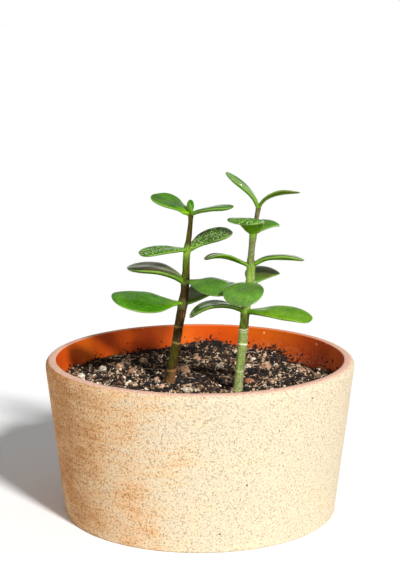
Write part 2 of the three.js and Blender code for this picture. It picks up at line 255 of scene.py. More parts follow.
# %% The lamp
LAMP_AZIMUTH = -60      # in front and to the right: 0 is the right, 90 the back
LAMP_ELEVATION = 35
LAMP_WIDTH = 7          # degrees that the softbox spans, seen from the plant
LAMP_STRENGTH = 4.3

lamp_data = bpy.data.lights.new("softbox", "SUN")
lamp_data.energy = LAMP_STRENGTH
lamp_data.angle = math.radians(LAMP_WIDTH)
lamp = add_object("softbox", lamp_data)
lamp.rotation_euler = (math.radians(90 - LAMP_ELEVATION), 0, math.radians(LAMP_AZIMUTH + 90))

# %% The white walls and the ceiling
WALL_LIGHT, CEILING_LIGHT = 1.0, 0.26
WALL_END, CEILING_START = 0.12, 0.42    # sine of the angle above the horizon

world = bpy.data.worlds.new("studio")
bpy.context.scene.world = world
world.use_nodes = True
add = partial(add_node, world.node_tree)
upwards = add("SeparateXYZ", [add("TexCoord", out="Generated")], out="Z")
light = add("MapRange", [upwards, WALL_END, CEILING_START, WALL_LIGHT, CEILING_LIGHT],
            interpolation_type="SMOOTHSTEP")
feed(world.node_tree.nodes["Background"], {"Color": "#FFFFFF", "Strength": light})
bpy.context.scene.view_settings.view_transform = "Standard"     # colours show as given

# %% The floor
REACH = 40.0            # metres, far enough to meet the horizon

# Matt white paint: a bright ground that throws light up under the leaves.
white, *_ = new_material("white_studio_floor", Base_Color="#F8F8F8", Roughness=0.9)
floor_mesh = bpy.data.meshes.new("floor")
ends = [(-REACH, -REACH, 0), (REACH, -REACH, 0), (REACH, REACH, 0), (-REACH, REACH, 0)]
floor_mesh.from_pydata(ends, [], [(0, 1, 2, 3)])
floor_mesh.materials.append(white)
floor = add_object("floor", floor_mesh)

# %% [markdown]
# ## The bowl
#
# The real bowl is red clay, pressed or thrown and fired, and its outside was dipped in
# a sandy slip. It could be a cylinder with loops and bevels, but a bowl is what a
# potter's profile makes when it turns, so here too a profile is turned round the axis.
# It runs up the outside, over the rim, down the inside and back along the underside, so
# the surface closes on itself like a ring, with the drain hole in its middle.

# %% The potter's profile
POT = SimpleNamespace(height=101, radius=100, base=89, rim_round=4, rim_ease=1, rim=6.8,
                      foot_ease=1.5, floor=8, fillet=7, drain=6.5)
WALL_SLOPE = (POT.radius - POT.base) / (POT.height - POT.rim_round - POT.foot_ease)


def inner_radius(height):
    """Radius of the inside wall, which leans as the outside does."""
    return POT.radius - POT.rim - (POT.height - POT.rim_ease - height) * WALL_SLOPE


def arc(centre, radius, start, end, count):
    """Points on an arc: centre + radius * (cos, sin), from start to end in degrees."""
    angle = np.radians(np.linspace(start, end, count))
    return np.array(centre) + radius * np.stack([np.cos(angle), np.sin(angle)], axis=1)


def straight(start, end, step):
    """Points from start up to, but not with, end, about step apart."""
    count = max(int(math.dist(start, end) / step), 1)
    t = np.linspace(0, 1, count, endpoint=False)[:, None]
    return np.array(start) * (1 - t) + np.array(end) * t


def pot_profile():
    """Radius and height along the section of the wall, and how far each point is
    through the three zones: 0 outside and under, 1 on the rim, 2 inside."""
    top, foot, floor, drain = POT.height, POT.foot_ease, POT.floor, POT.drain
    rim_inner = POT.radius - POT.rim
    # The centres of the rim's outer and inner arc, and of the bend above the floor:
    outer = (POT.radius - POT.rim_round, top - POT.rim_round)
    inner = (rim_inner + POT.rim_ease, top - POT.rim_ease)
    bend = (inner_radius(floor) - POT.fillet, floor + POT.fillet)
    parts = [
        (straight((drain, 0), (POT.base - foot, 0), 4), 0),
        (arc((POT.base - foot, foot), foot, -90, 0, 6), 0),
        (straight((POT.base, foot + 1), (POT.radius, outer[1] - 1), 1.5), 0),
        (arc(outer, POT.rim_round, 0, 55, 8), 0),
        (arc(outer, POT.rim_round, 60, 90, 5), 1),
        (straight((outer[0] - 0.3, top), (inner[0] + 0.2, top), 0.4), 1),
        (arc(inner, POT.rim_ease, 90, 130, 5), 1),
        (arc(inner, POT.rim_ease, 140, 180, 5), 2),
        (straight((rim_inner, inner[1] - 0.4), (inner_radius(bend[1]), bend[1]), 1.5), 2),
        (arc(bend, POT.fillet, 0, -90, 8), 2),
        (straight((bend[0] - 2, floor), (drain, floor), 4), 2),
        (straight((drain, floor), (drain, 0), 2), 2),
    ]       # each with its zone
    line = np.vstack([part for part, zone in parts])
    zone = np.concatenate([np.full(len(part), float(zone)) for part, zone in parts])
    return line, zone


# %% Turn the profile
POT_COLUMNS = 320
WOBBLE, WOBBLE_LENGTH = 0.12, 60    # the wall is a little off round, as a thrown one is
WOBBLE_FROM = 3                     # but not where it stands


def turned(line, columns):
    """Each point (r, z) of a profile carried round the axis: (r cos, r sin, z)."""
    turn = full_turn(columns)
    radius, height = line[:, 0, None], line[:, 1, None]
    return np.stack([radius * np.cos(turn), radius * np.sin(turn), height + 0 * turn], axis=-1)


profile, zone = pot_profile()
pot_grid = turned(profile, POT_COLUMNS)
outward = pot_grid * [1, 1, 0] / np.linalg.norm(pot_grid[..., :2], axis=-1, keepdims=True)
on_wall = (profile[:, 1] > WOBBLE_FROM)[:, None]
inwards = np.abs(ripple(pot_grid, WOBBLE_LENGTH, WOBBLE, seed=1)) * on_wall
pot_grid -= outward * inwards[..., None]
print("pot profile of", len(profile), "points")

# %% [markdown]
# ### Slip over red clay
#
# The finish has three zones. Outside, a matt sandy slip: cream, browner and with more
# sand to the left, with a few dark pinholes. On the rim the slip is worn thin, and the
# clay shows through it in pink, bare and orange at the far side. Inside, bare clay,
# burnished smooth, with specks of lime, and at the right-hand back some dust and soil
# that watering splashed up the wall. Each zone could be a material of its own, but its
# border would be a clean line. So the zone is a number on the mesh, and noise added to
# it makes the borders ragged.

# %% Patterns of the clay
clay, add, link = new_material("slip_coated_terracotta", IOR=1.5, Specular_IOR_Level=0.2)
place = add("TexCoord", out="Object")
axis = add("SeparateXYZ", [place], out=None)
level = add("Mapping", {"Vector": place, "Scale": (0.12, 0.12, 1)})
NOISES = ((place, 22, 3, 0.5),      # blotches: where, spots in mm, detail, roughness
          (level, 2.2, 5, 0.65),    # level streaks that the turning left
          (place, 1.1, 3, 0.7),     # sand: really 0.3 mm, drawn coarser so that it shows
          (place, 30, 4, 0.5),      # clouds that the fire left
          (place, 2.4, 5, 0.75))    # dust
blotch, streak, sand, burnt, dust = (
    add("TexNoise", {"Vector": where, "Scale": per_metre(size), "Detail": detail,
                     "Roughness": roughness})
    for where, size, detail, roughness in NOISES)

# Pinholes, then lime: mm apart, what thins them, the chance from which one shows and at
# which it is biggest, and how big.
SPOTS = ((4, blotch, 0.42, 0.6, 0.17), (5, 1.0, 0.84, 1.0, 0.22))
spots = []
for apart, thinned, low, high, biggest in SPOTS:
    cell = add("TexVoronoi", {"Vector": place, "Scale": per_metre(apart)}, out=None)
    chance = add("SeparateColor", [cell["Color"]])
    chance = add("Math", [chance, thinned], **TIMES)
    size = add("MapRange", [chance, low, high, 0, biggest])
    spots.append(add("Math", [cell["Distance"], size], operation="LESS_THAN"))
pinholes, lime = spots

# %% The slip outside
uneven = add("Math", [blotch, streak], operation="ADD")
uneven = add("MapRange", [uneven, 0.7, 1.3, -0.3, 0.3])
creaminess = add("MapRange", [axis["X"], -0.1, 0.01])       # places are in metres
creaminess = add("Math", [creaminess, uneven], **PLUS)
slip = add("ValToRGB", [creaminess], stops=[
    (0.0, "#C08850"), (0.4, "#D8B083"), (0.75, "#D4C1A2"), (1.0, "#CCBEA4")])
grains = add("ValToRGB", [sand], stops=[(0.37, "#80664A"), (0.5, "#FFFFFF")])
sandiness = add("MapRange", [creaminess, 0, 1, 0.95, 0.55])
slip = add("Mix", {0: sandiness, 6: slip, 7: grains}, **COLOUR_MIX, blend_type="MULTIPLY")
slip = add("Mix", {0: pinholes, 6: slip, 7: "#4E3A24"}, **COLOUR_MIX)

# %% The worn rim and the bare inside
rim = add("ValToRGB", [sand], stops=[
    (0.3, "#BE8468"), (0.5, "#D9B09A"), (0.8, "#E6C8B6")])
far = add("MapRange", [axis["Y"], 0.03, 0.09, 0, 0.8])
rim = add("Mix", {0: far, 6: rim, 7: "#C86A30"}, **COLOUR_MIX)

low = add("MapRange", [axis["Z"], 0.096, 0.084])
right = add("MapRange", [axis["X"], 0.02, 0.05, 0.15, 1])
splash = add("Math", [low, right], **TIMES)
dusty, soiled = (
    add("Math", [add("MapRange", [dust, *span]), splash], **TIMES)
    for span in ((0.5, 0.57, 0, 0.75), (0.45, 0.36, 0, 0.85)))
inside = add("ValToRGB", [burnt], stops=[
    (0.3, "#BC3E02"), (0.5, "#D05002"), (0.7, "#DA6206")])
for share, tone in ((lime, "#F4B48A"), (dusty, "#CC8260"), (soiled, "#3A180A")):
    inside = add("Mix", {0: share, 6: inside, 7: tone}, **COLOUR_MIX)

# %% From zone to zone
zone_of = add("Attribute", out="Fac", attribute_name="zone")
ragged = add("MapRange", [sand, 0, 1, -0.3, 0.3])
zone_of = add("Math", [zone_of, ragged], operation="ADD")
colour = slip
for start, end, next_one in ((0.3, 0.7, rim), (1.3, 1.7, inside)):
    share = add("MapRange", [zone_of, start, end])
    colour = add("Mix", {0: share, 6: colour, 7: next_one}, **COLOUR_MIX)
roughness = add("MapRange", [zone_of, 1, 2, 0.85, 0.42])
bump = add("Bump", {"Height": sand, "Strength": 0.35, "Distance": 0.3 * MM})
link(Base_Color=colour, Roughness=roughness, Normal=bump)
print("nodes of the clay:", len(clay.node_tree.nodes))

pot = add_grid_piece("clay_bowl", pot_grid, clay, {"zone": zone[:, None]}, ring=True)
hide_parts("pot")

# %% [markdown]
# ## The soil
#
# Potting soil for succulents is dark peat with perlite, pumice and grit. One surface
# alone would look like cloth, however it is bumped. So the piece that fills the bowl is
# a plain lumpy body, and thousands of loose crumbs and grains are strewn over it. Each
# grain has only twenty faces, which is plenty at 1 or 2 mm. The body is damp peat:
# nearly black, fibrous and quite matt.

# %% The soil's surface
SOIL_LEVEL = 85
SOIL_BUMPS = [(7, 95, 4.8, 17), (76, 60, -6.5, 20), (54, 74, 4, 8)]     # x, y, rise, spread
SOIL_WAVES = [(0.7, 9, 7.5, 1, 1.6), (0.45, 4.3, 5.1, 2, 1)]    # height, lengths, shifts


def soil_height(x, y):
    """level + sum of rise * exp(-(distance / spread)^2 / 2) + sum of
    height * sin(x / x_length + x_shift) * sin(y / y_length + y_shift)."""
    height = SOIL_LEVEL + 0 * x
    for middle_x, middle_y, rise, spread in SOIL_BUMPS:
        apart = (x - middle_x) ** 2 + (y - middle_y) ** 2
        height = height + rise * np.exp(-apart / spread ** 2 / 2)
    for depth, x_length, y_length, x_shift, y_shift in SOIL_WAVES:
        height = height + depth * np.sin(x / x_length + x_shift) * np.sin(y / y_length + y_shift)
    return height


# %% The body of soil
SOIL_GAP = 0.3          # to the pot's wall and floor
SOIL_COLUMNS = 300
SOIL_RINGS = 90
LUMP_SINK, LUMP_TOP = 0.3, 0.9      # lumps lie this much lower, and are cut off here


def soil_grid():
    """From the middle of the top out to the wall, down it, and back under to the middle."""
    edge = inner_radius(SOIL_LEVEL) - SOIL_GAP
    floor = POT.floor + SOIL_GAP
    corner = inner_radius(floor) - SOIL_GAP
    out = np.linspace(0, 1, SOIL_RINGS)
    top = np.stack([edge * out, np.full(SOIL_RINGS, SOIL_LEVEL)], axis=1)
    wall_end = floor + POT.fillet
    sides = np.array([[inner_radius(wall_end) - SOIL_GAP, wall_end],
                      [corner - POT.fillet, floor], [0, floor]])
    grid = turned(np.vstack([top, sides]), SOIL_COLUMNS)
    surface = grid[:SOIL_RINGS]
    height = soil_height(surface[..., 0], surface[..., 1])
    widen = 1 + out[:, None] * ((inner_radius(height) - SOIL_GAP) / edge - 1)
    surface[..., :2] *= widen[..., None]
    surface[..., 2] = height
    lumps = ripple(surface, 7, 0.45, seed=11) + ripple(surface, 2.6, 0.28, seed=12)
    surface[..., 2] += np.minimum(lumps - LUMP_SINK, LUMP_TOP)
    return grid


peat, add, link = new_material("damp_peat", Roughness=0.95)
place = add("TexCoord", out="Object")
fibre = add("TexNoise", {"Vector": place, "Scale": per_metre(1.6), "Detail": 4.0,
                         "Roughness": 0.7})
colour = add("ValToRGB", [fibre], stops=[
    (0.35, "#0E0907"), (0.55, "#241812"), (0.75, "#4A3323")])
bump = add("Bump", {"Height": fibre, "Strength": 0.8, "Distance": 0.6 * MM})
link(Base_Color=colour, Normal=bump)

soil = add_grid_piece("potting_soil", soil_grid(), peat, {})
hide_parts("soil")
print("soil from", SOIL_RINGS, "rings of", SOIL_COLUMNS, "points")

# %% [markdown]
# ## The stones
#
# Eighteen stones are big enough to be pieces of their own: fired clay pebbles, pumice,
# and one chip of a broken pot. Each is a globe, pressed to its three half sizes and
# swollen and dented by waves, so it keeps the place and size of its CAD solid.

# %% One stone
STONE_ROWS, STONE_COLUMNS = 28, 40
SHOWING = 0.3           # of the half height, from the soil up to the stone's centre
DENTS, CHIPS = 0.075, 0.04125       # usual depth of the large and small waves


def stone_grid(x, y, half_length, half_width, half_height, turned_by, seed):
    """A point at latitude a and longitude b: (cos a cos b, cos a sin b, sin a) times the
    half sizes and 1 + waves, turned round the upright axis and set in the soil."""
    a = np.linspace(-np.pi / 2, np.pi / 2, STONE_ROWS)[:, None]
    b = full_turn(STONE_COLUMNS)
    unit = np.stack([np.cos(a) * np.cos(b), np.cos(a) * np.sin(b), np.sin(a) + 0 * b], -1)
    swell = 1 + ripple(unit, 2.4, DENTS, seed) + ripple(unit, 0.5, CHIPS, seed + 1)
    shaped = unit * [half_length, half_width, half_height] * swell[..., None]
    turn = math.radians(turned_by)
    turning = np.array([[math.cos(turn), math.sin(turn), 0],
                        [-math.sin(turn), math.cos(turn), 0], [0, 0, 1]])
    height = soil_height(np.float64(x), np.float64(y)) + SHOWING * half_height
    return shaped @ turning + [x, y, height]


# %% Finishes of the stones
def stony(name, dark, middle, light, pore):
    """A porous, matt, broken stone: three tones over spots of pore mm, with pits."""
    material, add, link = new_material(name, Roughness=0.92)
    place = add("TexCoord", out="Object")
    cloud = add("TexNoise", {"Vector": place, "Scale": per_metre(pore * 2.5),
                             "Detail": 5.0, "Roughness": 0.75})
    colour = add("ValToRGB", [cloud], stops=[(0.38, dark), (0.5, middle), (0.62, light)])
    pits = add("TexVoronoi", {"Vector": place, "Scale": per_metre(pore)})
    bump = add("Bump", {"Height": pits, "Strength": 0.8, "Distance": 0.4 * MM})
    link(Base_Color=colour, Normal=bump)
    return material


# Brown and pink clay, pale grey pumice and duller terracotta: the light spots in the soil.
pebble = stony("fired_clay_pebble", "#644230", "#A67C5E", "#DCBCA0", 0.8)
pumice = stony("pumice_stone", "#80725E", "#C6B8A0", "#EEE4D0", 0.7)
broken = stony("broken_terracotta", "#704230", "#9C6240", "#BC8860", 0.8)

# %% Every stone
# Slot and finish, then for each stone its x, y, three half sizes and turn in degrees.
STONES = {
    "clay_pebble_{}": ("clay_pebble", pebble, [
        (44, 32, 4.2, 3.8, 3.4, 20), (68, 24, 2.9, 2.6, 2.3, 75), (-28, -2.5, 2.3, 2.2, 2.0, 10),
        (-45, 16, 3.1, 2.9, 2.6, 130), (-54, 32, 2.6, 2.4, 2.2, 50), (-39, 46, 3.2, 2.8, 2.6, 160),
        (46, -7.5, 2.4, 2.3, 2.1, 95), (-25, -24, 2.6, 2.2, 1.9, 35), (-11, 19, 4.3, 4.0, 3.6, 0),
        (-2.5, 52, 3.4, 3.0, 2.8, 110)]),
    "pumice_stone_{}": ("pumice", pumice, [
        (13.5, 32.5, 2.7, 2.5, 2.4, 15), (32, 29.5, 2.8, 2.5, 2.4, 70),
        (51.5, 38, 2.3, 2.1, 2.0, 120), (36.5, 55, 2.4, 1.9, 1.8, 40), (-65, 24, 2.9, 2.5, 2.3, 85),
        (-78, 5.5, 3.0, 2.6, 2.2, 100), (-8, -30, 3.6, 2.4, 2.2, 5)]),
    "terracotta_chip": ("terracotta", broken, [(32, -7.5, 3.9, 2.7, 2.4, 150)]),
}
for node_name, (slot, material, rows) in STONES.items():
    for number, row in enumerate(rows, 1):
        grid = stone_grid(*row, seed=number * 7 + len(slot))
        node = node_name.format(number)
        piece = add_grid_piece(node + "_stone", grid, material, {})
        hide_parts(node)
print("stones:", sum(len(rows) for *_, rows in STONES.values()))

# %% [markdown]
# ### Crumbs and grit
#
# A grain is an icosahedron with its corners pulled about. All grains of one kind share
# one mesh. It is made by carrying the same twelve corners to every place in one array
# operation. A random tone is stored with each grain, so that no two neighbours are
# alike in colour.

# %% Twelve corners, twenty faces
GOLDEN = (1 + math.sqrt(5)) / 2
flat = [(0, a, b * GOLDEN) for a in (-1, 1) for b in (-1, 1)]
CORNERS = np.array([np.roll(p, k) for k in range(3) for p in flat]) / math.hypot(1, GOLDEN)
spacing = np.linalg.norm(CORNERS[:, None] - CORNERS[None], axis=-1)
touching = np.isclose(spacing, np.sort(spacing[0])[1])
FACES = np.array([(i, j, k) for i in range(12) for j in range(i) for k in range(j)
                  if touching[i, j] and touching[j, k] and touching[i, k]])
a, b, c = (CORNERS[FACES[:, k]] for k in range(3))
outside = np.einsum("ij,ij->i", a, np.cross(b, c)) > 0
FACES = np.where(outside[:, None], FACES, FACES[:, ::-1])
print("a grain has", len(FACES), "faces")


# %% A handful of grains in one mesh
def spins(rng, count):
    """Random turns: the rotation matrices of random unit quaternions."""
    w, x, y, z = rng.normal(size=(4, count))
    size = np.sqrt(w * w + x * x + y * y + z * z)
    w, x, y, z = w / size, x / size, y / size, z / size
    rows = [[1 - 2 * (y * y + z * z), 2 * (x * y - w * z), 2 * (x * z + w * y)],
            [2 * (x * y + w * z), 1 - 2 * (x * x + z * z), 2 * (y * z - w * x)],
            [2 * (x * z - w * y), 2 * (y * z + w * x), 1 - 2 * (x * x + y * y)]]
    return np.moveaxis(np.array(rows), -1, 0)


ROUGH = 0.22            # usual share by which a corner is pulled in or out
PULL_LIMIT = 1.6        # and how many times that it may be


def add_grains(name, centres, sizes, tones, material, seed, squeeze=(1, 0.85, 0.7)):
    """Grains at centres (n x 3): corner * half size * squeeze, each corner pulled in or
    out at random, then turned at random and moved to its centre."""
    rng = np.random.default_rng(seed)
    count = len(centres)
    pull = rng.normal(size=(count, 12, 1)).clip(-PULL_LIMIT, PULL_LIMIT)
    shaped = CORNERS * (1 + ROUGH * pull) * sizes[:, None, None] * np.array(squeeze)
    points = np.einsum("nij,nkj->nki", spins(rng, count), shaped) + centres[:, None]
    faces = FACES + 12 * np.arange(count)[:, None, None]
    piece = add_piece(name, points.reshape(-1, 3), np.zeros((0, 4), int),
                      faces.reshape(-1, 3), material, {"tone": np.repeat(tones, 12)},
                      faceted=True)
    print(name, count, "grains")


# %% Where grains may lie
SOIL_DIP = 4            # the surface sinks by as much near the wall
WALL_CLEAR = 0.4


def strewn(rng, count, size, sink):
    """Random places on the soil, inside the wall: radius = reach * sqrt(chance). A grain
    of half size s lies with its centre sink * s under the surface."""
    turn = rng.uniform(0, 2 * np.pi, count)
    reach = inner_radius(SOIL_LEVEL - SOIL_DIP) - WALL_CLEAR - size
    reach = reach * np.sqrt(rng.uniform(0, 1, count))
    x, y = reach * np.cos(turn), reach * np.sin(turn)
    return np.stack([x, y, soil_height(x, y) - sink * size], axis=-1)


STONE_TABLE = np.array([row for *_, rows in STONES.values() for row in rows])


def off_stones(centres):
    """True where no stone covers the place: further than its mean half size."""
    apart = np.linalg.norm(centres[:, None, :2] - STONE_TABLE[None, :, :2], axis=-1)
    return (apart > STONE_TABLE[:, 2:4].mean(axis=1)).all(axis=1)


def patches(centres, seed, length=16):
    """0 to 1 at each place: ripple pushed through a smooth step, for drifts of grit."""
    return smooth(ripple(centres * [1, 1, 0], length, 0.35, seed) + 0.5)


# %% Peat crumbs
CRUMB_COUNT = 8500
rng = np.random.default_rng(21)
crumb_size = rng.gamma(4, 0.22, CRUMB_COUNT).clip(0.35, 2.2)    # half sizes in mm
crumb_place = strewn(rng, CRUMB_COUNT, crumb_size, rng.uniform(-0.5, 0.5, CRUMB_COUNT))
kept = off_stones(crumb_place)
crumb_size, crumb_place = crumb_size[kept], crumb_place[kept]

# Nearly black, with a few dry brown crumbs: it keeps the soil dark and deep.
crumb, add, link = new_material("peat_crumb", Roughness=0.95)
tone = add("Attribute", out="Fac", attribute_name="tone")
colour = add("ValToRGB", [tone], stops=[
    (0.0, "#0B0705"), (0.5, "#19110C"), (0.75, "#2E1D14"), (0.92, "#583A26"), (1.0, "#8A6244")])
place = add("TexCoord", out="Object")
grainy = add("TexNoise", {"Vector": place, "Scale": per_metre(0.7), "Detail": 2.0})
bump = add("Bump", {"Height": grainy, "Strength": 0.7, "Distance": 0.3 * MM})
link(Base_Color=colour, Normal=bump)
add_grains("peat_crumbs", crumb_place, crumb_size, rng.uniform(0, 1, len(crumb_size)), crumb, 22)

# %% Perlite and grit
GRIT_COUNT = 11000
# Painted shadows: places where leaves shade the soil, kept dark by leaving out pale grit.
PAINTED_SHADOW_PLACES = [(2, 2, 24, 13), (-31, 42, 9, 32), (-34, 77, 45, 7), (-75, 48, 16, 14),
         (26, 86, 25, 6), (38, 14, 7, 10)]      # dark places: x, y, half sizes
rng = np.random.default_rng(31)
grit_size = rng.gamma(3.5, 0.2, GRIT_COUNT).clip(0.25, 1.9)
grit_place = strewn(rng, GRIT_COUNT, grit_size, rng.uniform(-0.6, 0.15, GRIT_COUNT))
x, y = grit_place[:, 0], grit_place[:, 1]
painted_shadow = sum(np.exp(-((x - at_x) / wide) ** 2 - ((y - at_y) / deep) ** 2)
            for at_x, at_y, wide, deep in PAINTED_SHADOW_PLACES)
# From 0.11 to 0.67 of the grains stay, but hardly any in the painted shadows.
share = (0.11 + 0.56 * patches(grit_place, 32)) * (1 - 0.95 * np.clip(1.4 * painted_shadow, 0, 1))
kept = (rng.uniform(0, 1, GRIT_COUNT) < share) & off_stones(grit_place)
grit_size, grit_place = grit_size[kept], grit_place[kept]
browner_back = 0.2 * smooth((grit_place[:, 1] - 10) / 50)       # behind the plants
tones = rng.uniform(0, 1, len(grit_size)) * (1 - browner_back)

# From brown bark through tan grit to white perlite: the speckle on the dark soil.
grit, add, link = new_material("perlite_and_grit", Roughness=0.85)
tone = add("Attribute", out="Fac", attribute_name="tone")
colour = add("ValToRGB", [tone], stops=[
    (0.0, "#4A3424"), (0.2, "#80644A"), (0.4, "#A48868"), (0.55, "#BE9A76"),
    (0.7, "#C6A888"), (0.85, "#E0CAAC"), (1.0, "#F6EAD8")])
link(Base_Color=colour)
add_grains("perlite_grains", grit_place, grit_size, tones, grit, 33, squeeze=(1, 0.75, 0.6))

# %% [markdown]
# ### Splinters, stuck crumbs and threads
#
# Potting soil also holds splinters of bark, which are long flat grains. Crumbs stick to
# the damp wall just above the soil, most of them at the right-hand back. Thin roots and
# husk threads lie on top. They could be curves with a bevel, but one mesh of bowed rods
# with three sides is lighter and shows as much.

# %% Splinters of bark and husk
SPLINTER_COUNT = 420
rng = np.random.default_rng(36)
splinter_size = rng.uniform(1.1, 2.6, SPLINTER_COUNT)
splinter_sink = rng.uniform(-0.35, 0, SPLINTER_COUNT)
splinter_place = strewn(rng, SPLINTER_COUNT, splinter_size, splinter_sink)
kept = off_stones(splinter_place)
splinter_tone = rng.uniform(0, 0.8, kept.sum())
add_grains("bark_splinters", splinter_place[kept], splinter_size[kept], splinter_tone, grit, 37,
           squeeze=(1, 0.35, 0.22))

# %% Crumbs that stick to the wall
STUCK_COUNT = 560
AT_BANK = 0.3           # share of them that lies at the right-hand back
BANK, BANK_SPREAD = 48, 13      # degrees round the bowl
STUCK_RISE = 1.3        # mean height above the soil
HIGHEST = 9
rng = np.random.default_rng(38)
banked = rng.uniform(0, 1, STUCK_COUNT) < AT_BANK
turn = np.where(banked, np.radians(rng.normal(BANK, BANK_SPREAD, STUCK_COUNT)),
                rng.uniform(0, 2 * np.pi, STUCK_COUNT))
stuck_size = rng.uniform(0.2, 0.9, STUCK_COUNT)
edge = inner_radius(SOIL_LEVEL)
rise_of = (rng.exponential(STUCK_RISE, STUCK_COUNT) * (1 + 0.6 * banked)).clip(0, HIGHEST)
height = soil_height(edge * np.cos(turn), edge * np.sin(turn)) + rise_of
reach = inner_radius(height) - 0.4 * stuck_size
stuck_place = np.stack([reach * np.cos(turn), reach * np.sin(turn), height], axis=-1)
add_grains("crumbs_on_wall", stuck_place, stuck_size, rng.uniform(0, 1, STUCK_COUNT), crumb, 39)

# %% Root fibres and husk threads
FIBRE_COUNT = 260
FIBRE_ROWS, FIBRE_SIDES = 7, 3
FIBRE_CLEAR, FIBRE_RISE = 4.5, 0.7      # from the wall, and over the soil's surface


def add_fibres(name, centres, lengths, widths, tones, material, seed):
    """Thin bowed rods. The spine at s from -1 to 1 is centre + forward * s * length / 2 +
    (aside * bow + up * lift) * (1 - s^2), and the section shrinks as sqrt(1 - s^2)."""
    rng = np.random.default_rng(seed)
    count = len(centres)
    heading = rng.uniform(0, 2 * np.pi, count)
    forward = level_way(heading)[:, None]
    aside = level_way(heading + np.pi / 2)[:, None]
    up = np.array([0, 0, 1.0])
    s = np.linspace(-1, 1, FIBRE_ROWS)
    hump = (1 - s ** 2)[None, :, None]
    bow = (lengths * rng.uniform(-0.4, 0.4, count))[:, None, None]
    lift = (lengths * rng.uniform(0.02, 0.18, count))[:, None, None]
    spine = centres[:, None] + forward * (s * lengths[:, None] / 2)[..., None]
    spine = spine + (aside * bow + up * lift) * hump
    turn = full_turn(FIBRE_SIDES)[:, None]
    section = np.cos(turn) * aside[:, None] + np.sin(turn) * up
    thin = widths[:, None, None, None] * np.sqrt(hump)[..., None]
    points = spine[:, :, None] + section * thin
    middle = points[:, 1:-1].reshape(count, -1, 3)
    points = np.concatenate([points[:, 0, :1], middle, points[:, -1, :1]], axis=1)
    each = points.shape[1]
    shift = each * np.arange(count)[:, None, None]
    quads, triangles = grid_faces(FIBRE_ROWS, FIBRE_SIDES, ring=False)
    piece = add_piece(name, points.reshape(-1, 3), (quads + shift).reshape(-1, 4),
                      (triangles + shift).reshape(-1, 3), material,
                      {"tone": np.repeat(tones, each)})
    print(name, count, "fibres")


rng = np.random.default_rng(41)
fibre_length = rng.uniform(2.5, 8, FIBRE_COUNT)
fibre_width = rng.uniform(0.14, 0.32, FIBRE_COUNT)
clear = np.full(FIBRE_COUNT, FIBRE_CLEAR)
fibre_place = strewn(rng, FIBRE_COUNT, clear, 0) + [0, 0, FIBRE_RISE]
fibre_tone = rng.uniform(0.45, 0.95, FIBRE_COUNT)
add_fibres("root_fibres", fibre_place, fibre_length, fibre_width, fibre_tone, grit, 42)

# %% [markdown]
# ## The stems
#
# A jade stem is a fleshy rod that swells at each node, where a pair of leaves sits. Old
# nodes low on the stem have lost their leaves and keep a pale ring scar. A curve with a
# bevel could give the rod, but not the rings, so the stem is a circle carried up a
# smooth axis, with its radius read from a table, plus a small ridge at each scar.

# %% Axis and radius of both stems
LEFT_STEM = np.array([      # height, x, y, radius
    (68, -22, -13.2, 0), (69, -21.9, -13.2, 1.8), (78, -20.8, -13, 2.8), (86, -19.7, -13, 3.2),
    (95, -18.2, -12.8, 3), (113, -15.1, -12.6, 2.9), (124, -13.5, -12.8, 2.9),
    (133.5, -11.7, -13, 3.1), (139, -10.8, -13, 3.3), (146, -9.8, -13.1, 2.6),
    (153, -9.3, -13.2, 2.8), (160, -8.9, -13.2, 2.3), (169, -8.5, -13.1, 2.3),
    (173, -8.1, -13, 2.6), (179, -7.3, -12.9, 1.8), (188, -6.2, -12.9, 1.5),
    (193, -5.9, -13, 1.6), (195.8, -5.8, -13, 2), (197.2, -5.8, -13, 1.3), (197.8, -5.8, -13, 0)])
RIGHT_STEM = np.array([
    (66, 22.8, -31, 0), (67, 22.9, -31, 1.8), (77, 23.3, -31, 2.7), (86, 23.8, -31, 3.1),
    (99, 24.9, -31.1, 2.8), (113, 26.4, -31.3, 2.9), (125, 27.3, -31.2, 3),
    (131, 27.8, -31.1, 2.8), (137, 28.3, -31, 3.1), (146, 29.6, -30.9, 2.8),
    (154, 30.9, -30.9, 3), (160, 31.4, -30.9, 2.6), (165.7, 31.5, -31, 2.8),
    (171, 31.5, -31.1, 2.1), (179, 32.2, -31.1, 2.1), (186, 33, -31, 2.5),
    (191, 33.9, -30.9, 1.6), (196, 34.9, -31, 1.45), (200, 35.7, -31, 1.6), (202, 36, -31, 1.7),
    (203, 36, -31, 1), (203.6, 36, -31, 0)])


def hermite(table, column, height):
    """A cubic through the table's rows. The slope at a row is that from the row before
    to the row after."""
    h, value = table[:, 0], table[:, column]
    row = np.arange(len(h))
    before, after = np.maximum(row - 1, 0), np.minimum(row + 1, len(h) - 1)
    slope = (value[after] - value[before]) / (h[after] - h[before])
    i = np.clip(np.searchsorted(h, height, side="right") - 1, 0, len(h) - 2)
    span = h[i + 1] - h[i]
    t = (height - h[i]) / span
    bend = (2 * t - 3) * t * t
    return (value[i] * (1 + bend) - value[i + 1] * bend
            + span * (slope[i] * t * (1 - t) ** 2 - slope[i + 1] * t * t * (1 - t)))


def stem_axis(table, height):
    """Point of the axis at a height."""
    height = np.asarray(height, float)
    return np.stack([hermite(table, 1, height), hermite(table, 2, height), height], axis=-1)


def stem_radius(table, height):
    """Radius between the table's rows, in straight lines."""
    return np.interp(height, table[:, 0], table[:, 3])
